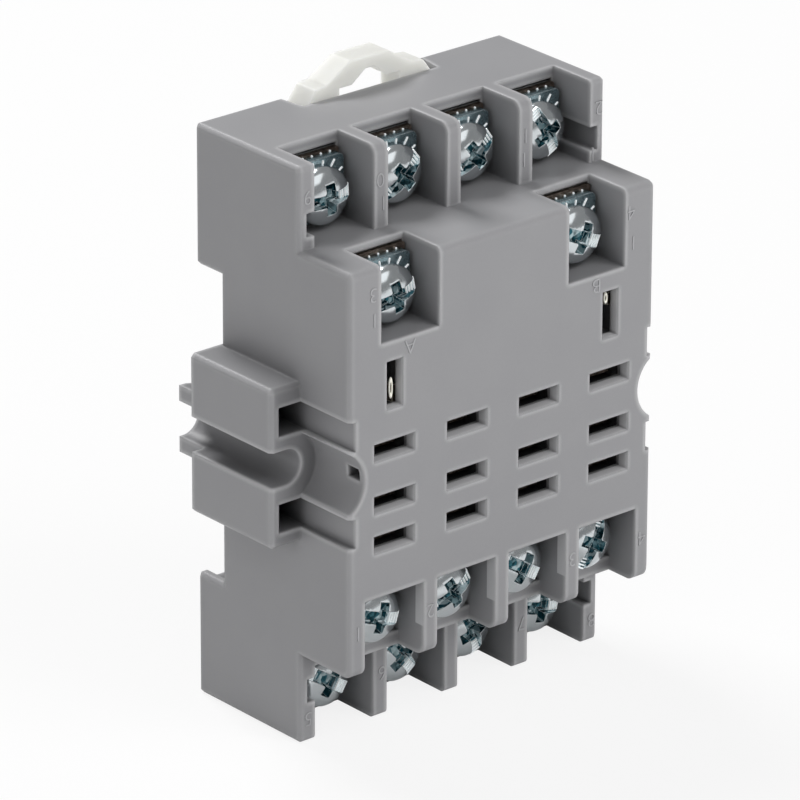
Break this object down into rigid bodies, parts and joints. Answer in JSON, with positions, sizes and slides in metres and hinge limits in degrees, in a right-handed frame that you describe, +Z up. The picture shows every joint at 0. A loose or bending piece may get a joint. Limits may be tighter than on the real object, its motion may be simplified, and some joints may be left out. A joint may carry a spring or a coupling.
{
  "type": "relay socket",
  "caption": "Plug-in relay socket with stepped tiers of screw terminals, blade slots in the face, slotted fixing ears and a sprung clip for a mounting rail.",
  "frame": {"origin": "under the middle of the socket, at its lower end", "axes": "+Z up along the socket, -Y out of the relay face, +X to the right seen from that face"},
  "size_m": [0.0512, 0.026, 0.0705],
  "materials": {
    "moulding": "grey thermoplastic, fine satin",
    "clip": "natural translucent nylon",
    "contact": "nickel-plated brass, dulled",
    "zinc": "bright blue zinc plate"
  },
  "bodies": {
    "base": {"housing": "moulding", "contact_01": "contact", "contact_02": "contact", "contact_03": "contact", "contact_04": "contact", "contact_05": "contact", "contact_06": "contact", "contact_07": "contact", "contact_08": "contact", "contact_09": "contact", "contact_10": "contact", "contact_11": "contact", "contact_12": "contact", "contact_13": "contact", "contact_14": "contact", "clip_spring": "clip"},
    "rail_clip": {"din_clip": "clip"},
    "clamp_01": {"clamp_plate_01": "zinc"},
    "screw_01": {"terminal_screw_01": "zinc"},
    "clamp_02": {"clamp_plate_02": "zinc"},
    "screw_02": {"terminal_screw_02": "zinc"},
    "clamp_03": {"clamp_plate_03": "zinc"},
    "screw_03": {"terminal_screw_03": "zinc"},
    "clamp_04": {"clamp_plate_04": "zinc"},
    "screw_04": {"terminal_screw_04": "zinc"},
    "clamp_05": {"clamp_plate_05": "zinc"},
    "screw_05": {"terminal_screw_05": "zinc"},
    "clamp_06": {"clamp_plate_06": "zinc"},
    "screw_06": {"terminal_screw_06": "zinc"},
    "clamp_07": {"clamp_plate_07": "zinc"},
    "screw_07": {"terminal_screw_07": "zinc"},
    "clamp_08": {"clamp_plate_08": "zinc"},
    "screw_08": {"terminal_screw_08": "zinc"},
    "clamp_09": {"clamp_plate_09": "zinc"},
    "screw_09": {"terminal_screw_09": "zinc"},
    "clamp_10": {"clamp_plate_10": "zinc"},
    "screw_10": {"terminal_screw_10": "zinc"},
    "clamp_11": {"clamp_plate_11": "zinc"},
    "screw_11": {"terminal_screw_11": "zinc"},
    "clamp_12": {"clamp_plate_12": "zinc"},
    "screw_12": {"terminal_screw_12": "zinc"},
    "clamp_13": {"clamp_plate_13": "zinc"},
    "screw_13": {"terminal_screw_13": "zinc"},
    "clamp_14": {"clamp_plate_14": "zinc"},
    "screw_14": {"terminal_screw_14": "zinc"}
  },
  "joints": [
    {"name": "rail_clip_slide", "type": "slide", "parent": "base", "child": "rail_clip", "axis": [0, 0, 1], "range_m": [0, 0.0016], "stiffness_N_per_m": 200, "springref_m": -0.002, "deforming": ["clip_spring"]},
    {"name": "clamp_01_slide", "type": "slide", "parent": "base", "child": "clamp_01", "axis": [0, -1, 0], "range_m": [0, 0.0024]},
    {"name": "screw_01_turn", "type": "hinge", "parent": "clamp_01", "child": "screw_01", "pos_m": [-0.01524, -0.00694, 0.01545], "axis": [0, -1, 0], "range_deg": [-60, 1500]},
    {"name": "clamp_02_slide", "type": "slide", "parent": "base", "child": "clamp_02", "axis": [0, -1, 0], "range_m": [0, 0.0024]},
    {"name": "screw_02_turn", "type": "hinge", "parent": "clamp_02", "child": "screw_02", "pos_m": [-0.00508, -0.00694, 0.01545], "axis": [0, -1, 0], "range_deg": [-60, 1500]},
    {"name": "clamp_03_slide", "type": "slide", "parent": "base", "child": "clamp_03", "axis": [0, -1, 0], "range_m": [0, 0.0024]},
    {"name": "screw_03_turn", "type": "hinge", "parent": "clamp_03", "child": "screw_03", "pos_m": [0.00508, -0.00694, 0.01545], "axis": [0, -1, 0], "range_deg": [-60, 1500]},
    {"name": "clamp_04_slide", "type": "slide", "parent": "base", "child": "clamp_04", "axis": [0, -1, 0], "range_m": [0, 0.0024]},
    {"name": "screw_04_turn", "type": "hinge", "parent": "clamp_04", "child": "screw_04", "pos_m": [0.01524, -0.00694, 0.01545], "axis": [0, -1, 0], "range_deg": [-60, 1500]},
    {"name": "clamp_05_slide", "type": "slide", "parent": "base", "child": "clamp_05", "axis": [0, -1, 0], "range_m": [0, 0.0024]},
    {"name": "screw_05_turn", "type": "hinge", "parent": "clamp_05", "child": "screw_05", "pos_m": [-0.01524, 0.00156, 0.0048], "axis": [0, -1, 0], "range_deg": [-60, 1500]},
    {"name": "clamp_06_slide", "type": "slide", "parent": "base", "child": "clamp_06", "axis": [0, -1, 0], "range_m": [0, 0.0024]},
    {"name": "screw_06_turn", "type": "hinge", "parent": "clamp_06", "child": "screw_06", "pos_m": [-0.00508, 0.00156, 0.0048], "axis": [0, -1, 0], "range_deg": [-60, 1500]},
    {"name": "clamp_07_slide", "type": "slide", "parent": "base", "child": "clamp_07", "axis": [0, -1, 0], "range_m": [0, 0.0024]},
    {"name": "screw_07_turn", "type": "hinge", "parent": "clamp_07", "child": "screw_07", "pos_m": [0.00508, 0.00156, 0.0048], "axis": [0, -1, 0], "range_deg": [-60, 1500]},
    {"name": "clamp_08_slide", "type": "slide", "parent": "base", "child": "clamp_08", "axis": [0, -1, 0], "range_m": [0, 0.0024]},
    {"name": "screw_08_turn", "type": "hinge", "parent": "clamp_08", "child": "screw_08", "pos_m": [0.01524, 0.00156, 0.0048], "axis": [0, -1, 0], "range_deg": [-60, 1500]},
    {"name": "clamp_09_slide", "type": "slide", "parent": "base", "child": "clamp_09", "axis": [0, -1, 0], "range_m": [0, 0.0024]},
    {"name": "screw_09_turn", "type": "hinge", "parent": "clamp_09", "child": "screw_09", "pos_m": [-0.01524, 0.00156, 0.06125], "axis": [0, -1, 0], "range_deg": [-60, 1500]},
    {"name": "clamp_10_slide", "type": "slide", "parent": "base", "child": "clamp_10", "axis": [0, -1, 0], "range_m": [0, 0.0024]},
    {"name": "screw_10_turn", "type": "hinge", "parent": "clamp_10", "child": "screw_10", "pos_m": [-0.00508, 0.00156, 0.06125], "axis": [0, -1, 0], "range_deg": [-60, 1500]},
    {"name": "clamp_11_slide", "type": "slide", "parent": "base", "child": "clamp_11", "axis": [0, -1, 0], "range_m": [0, 0.0024]},
    {"name": "screw_11_turn", "type": "hinge", "parent": "clamp_11", "child": "screw_11", "pos_m": [0.00508, 0.00156, 0.06125], "axis": [0, -1, 0], "range_deg": [-60, 1500]},
    {"name": "clamp_12_slide", "type": "slide", "parent": "base", "child": "clamp_12", "axis": [0, -1, 0], "range_m": [0, 0.0024]},
    {"name": "screw_12_turn", "type": "hinge", "parent": "clamp_12", "child": "screw_12", "pos_m": [0.01524, 0.00156, 0.06125], "axis": [0, -1, 0], "range_deg": [-60, 1500]},
    {"name": "clamp_13_slide", "type": "slide", "parent": "base", "child": "clamp_13", "axis": [0, -1, 0], "range_m": [0, 0.0024]},
    {"name": "screw_13_turn", "type": "hinge", "parent": "clamp_13", "child": "screw_13", "pos_m": [-0.01315, -0.00694, 0.0522], "axis": [0, -1, 0], "range_deg": [-60, 1500]},
    {"name": "clamp_14_slide", "type": "slide", "parent": "base", "child": "clamp_14", "axis": [0, -1, 0], "range_m": [0, 0.0024]},
    {"name": "screw_14_turn", "type": "hinge", "parent": "clamp_14", "child": "screw_14", "pos_m": [0.01315, -0.00694, 0.0522], "axis": [0, -1, 0], "range_deg": [-60, 1500]}
  ],
  "couplings": [
    {"joint": "screw_01_turn", "follows": "clamp_01_slide", "rad_per_m": 10472},
    {"joint": "screw_02_turn", "follows": "clamp_02_slide", "rad_per_m": 10472},
    {"joint": "screw_03_turn", "follows": "clamp_03_slide", "rad_per_m": 10472},
    {"joint": "screw_04_turn", "follows": "clamp_04_slide", "rad_per_m": 10472},
    {"joint": "screw_05_turn", "follows": "clamp_05_slide", "rad_per_m": 10472},
    {"joint": "screw_06_turn", "follows": "clamp_06_slide", "rad_per_m": 10472},
    {"joint": "screw_07_turn", "follows": "clamp_07_slide", "rad_per_m": 10472},
    {"joint": "screw_08_turn", "follows": "clamp_08_slide", "rad_per_m": 10472},
    {"joint": "screw_09_turn", "follows": "clamp_09_slide", "rad_per_m": 10472},
    {"joint": "screw_10_turn", "follows": "clamp_10_slide", "rad_per_m": 10472},
    {"joint": "screw_11_turn", "follows": "clamp_11_slide", "rad_per_m": 10472},
    {"joint": "screw_12_turn", "follows": "clamp_12_slide", "rad_per_m": 10472},
    {"joint": "screw_13_turn", "follows": "clamp_13_slide", "rad_per_m": 10472},
    {"joint": "screw_14_turn", "follows": "clamp_14_slide", "rad_per_m": 10472}
  ]
}
